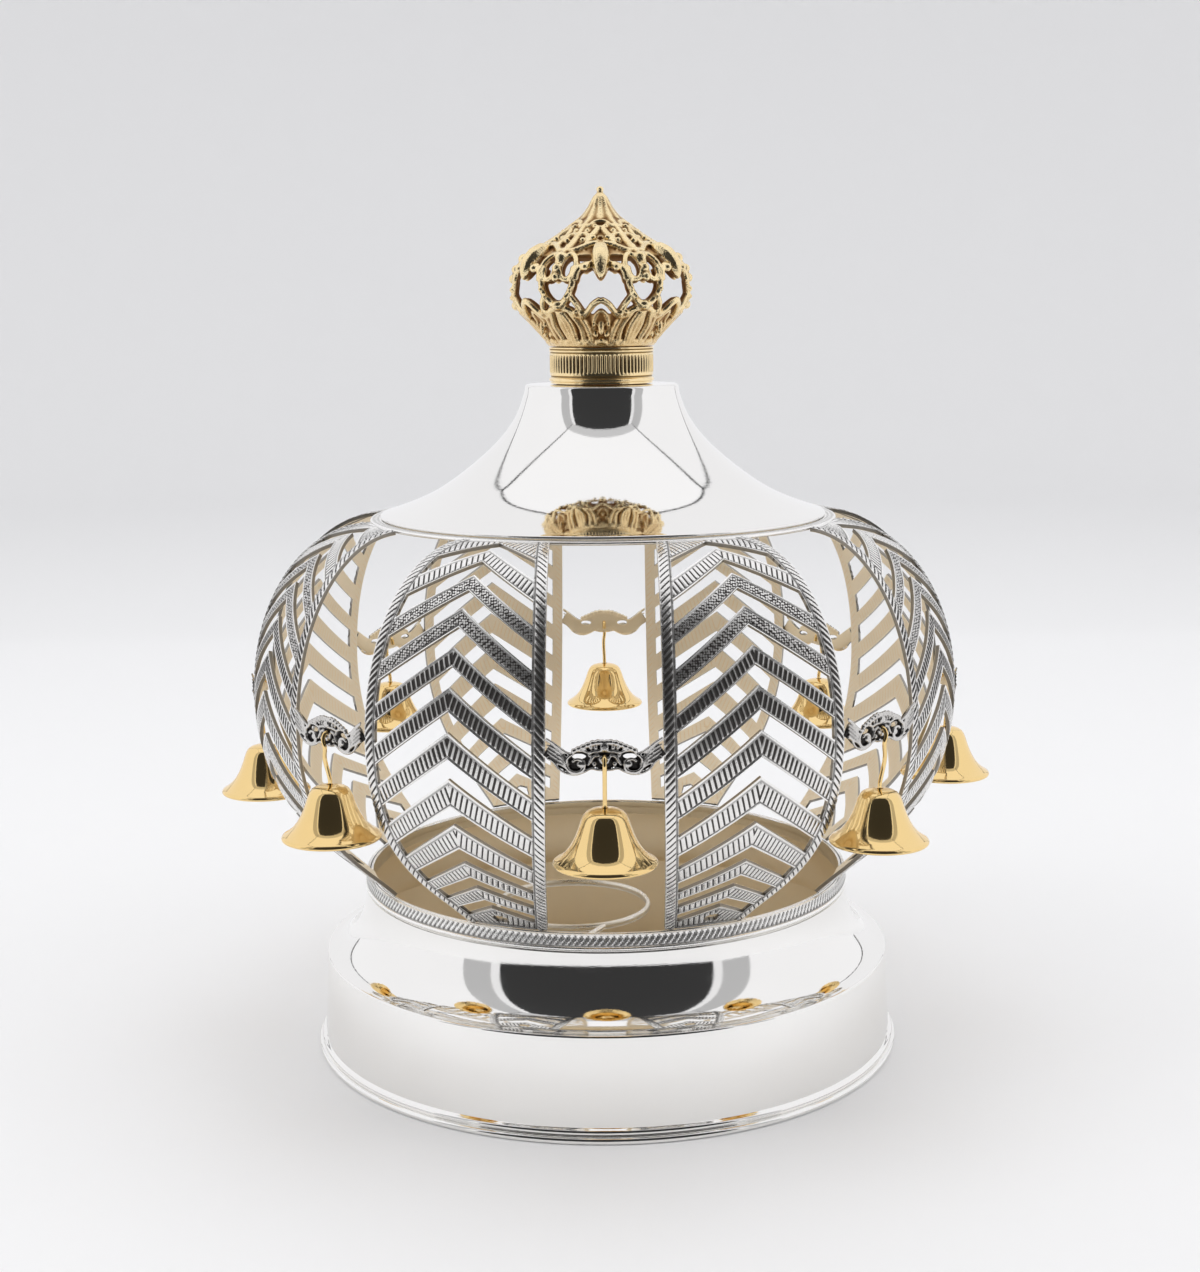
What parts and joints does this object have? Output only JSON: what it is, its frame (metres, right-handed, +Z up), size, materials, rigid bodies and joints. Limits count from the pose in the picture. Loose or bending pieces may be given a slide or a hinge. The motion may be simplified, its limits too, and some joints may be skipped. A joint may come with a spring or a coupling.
{
  "type": "torah crown",
  "caption": "Silver Torah crown: pierced cage of leaf-shaped panels on a round hollow base, domed top with a gilt finial crown, and small gilt bells hung between the panels.",
  "frame": {"origin": "centre of the base's underside, on the surface the crown stands on", "axes": "+Z up along the crown's axis; -Y is the front, where a bell hangs in the gap that faces the viewer"},
  "size_m": [0.316, 0.316, 0.345],
  "materials": {
    "polished_silver": "mirror-polished silver with a faint warm tone and light polishing marks",
    "engraved_silver": "hand-engraved silver with blackened cuts and a plain cream inner face",
    "oxidised_silver": "cast silver scrolls with oxidised black recesses and polished high points",
    "silver_wire": "satin silver strip",
    "polished_gold": "mirror-polished gilt",
    "antique_gold": "gilt casting, polished high points over darker brown recesses"
  },
  "bodies": {
    "root": {"base": "polished_silver", "lower_band": "engraved_silver", "panel_1": "engraved_silver", "panel_2": "engraved_silver", "panel_3": "engraved_silver", "panel_4": "engraved_silver", "panel_5": "engraved_silver", "panel_6": "engraved_silver", "panel_7": "engraved_silver", "panel_8": "engraved_silver", "top_ring": "engraved_silver", "dome": "polished_silver", "finial_collar": "polished_gold", "finial_crown": "antique_gold", "bracket_1": "oxidised_silver", "bracket_2": "oxidised_silver", "bracket_3": "oxidised_silver", "bracket_4": "oxidised_silver", "bracket_5": "oxidised_silver", "bracket_6": "oxidised_silver", "bracket_7": "oxidised_silver", "bracket_8": "oxidised_silver", "hook_1": "polished_gold", "hook_2": "polished_gold", "hook_3": "polished_gold", "hook_4": "polished_gold", "hook_5": "polished_gold", "hook_6": "polished_gold", "hook_7": "polished_gold", "hook_8": "polished_gold", "bell_1": "polished_gold", "bell_2": "polished_gold", "bell_3": "polished_gold", "bell_4": "polished_gold", "bell_5": "polished_gold", "bell_6": "polished_gold", "bell_7": "polished_gold", "bell_8": "polished_gold", "stave_ring": "silver_wire"}
  },
  "joints": []
}
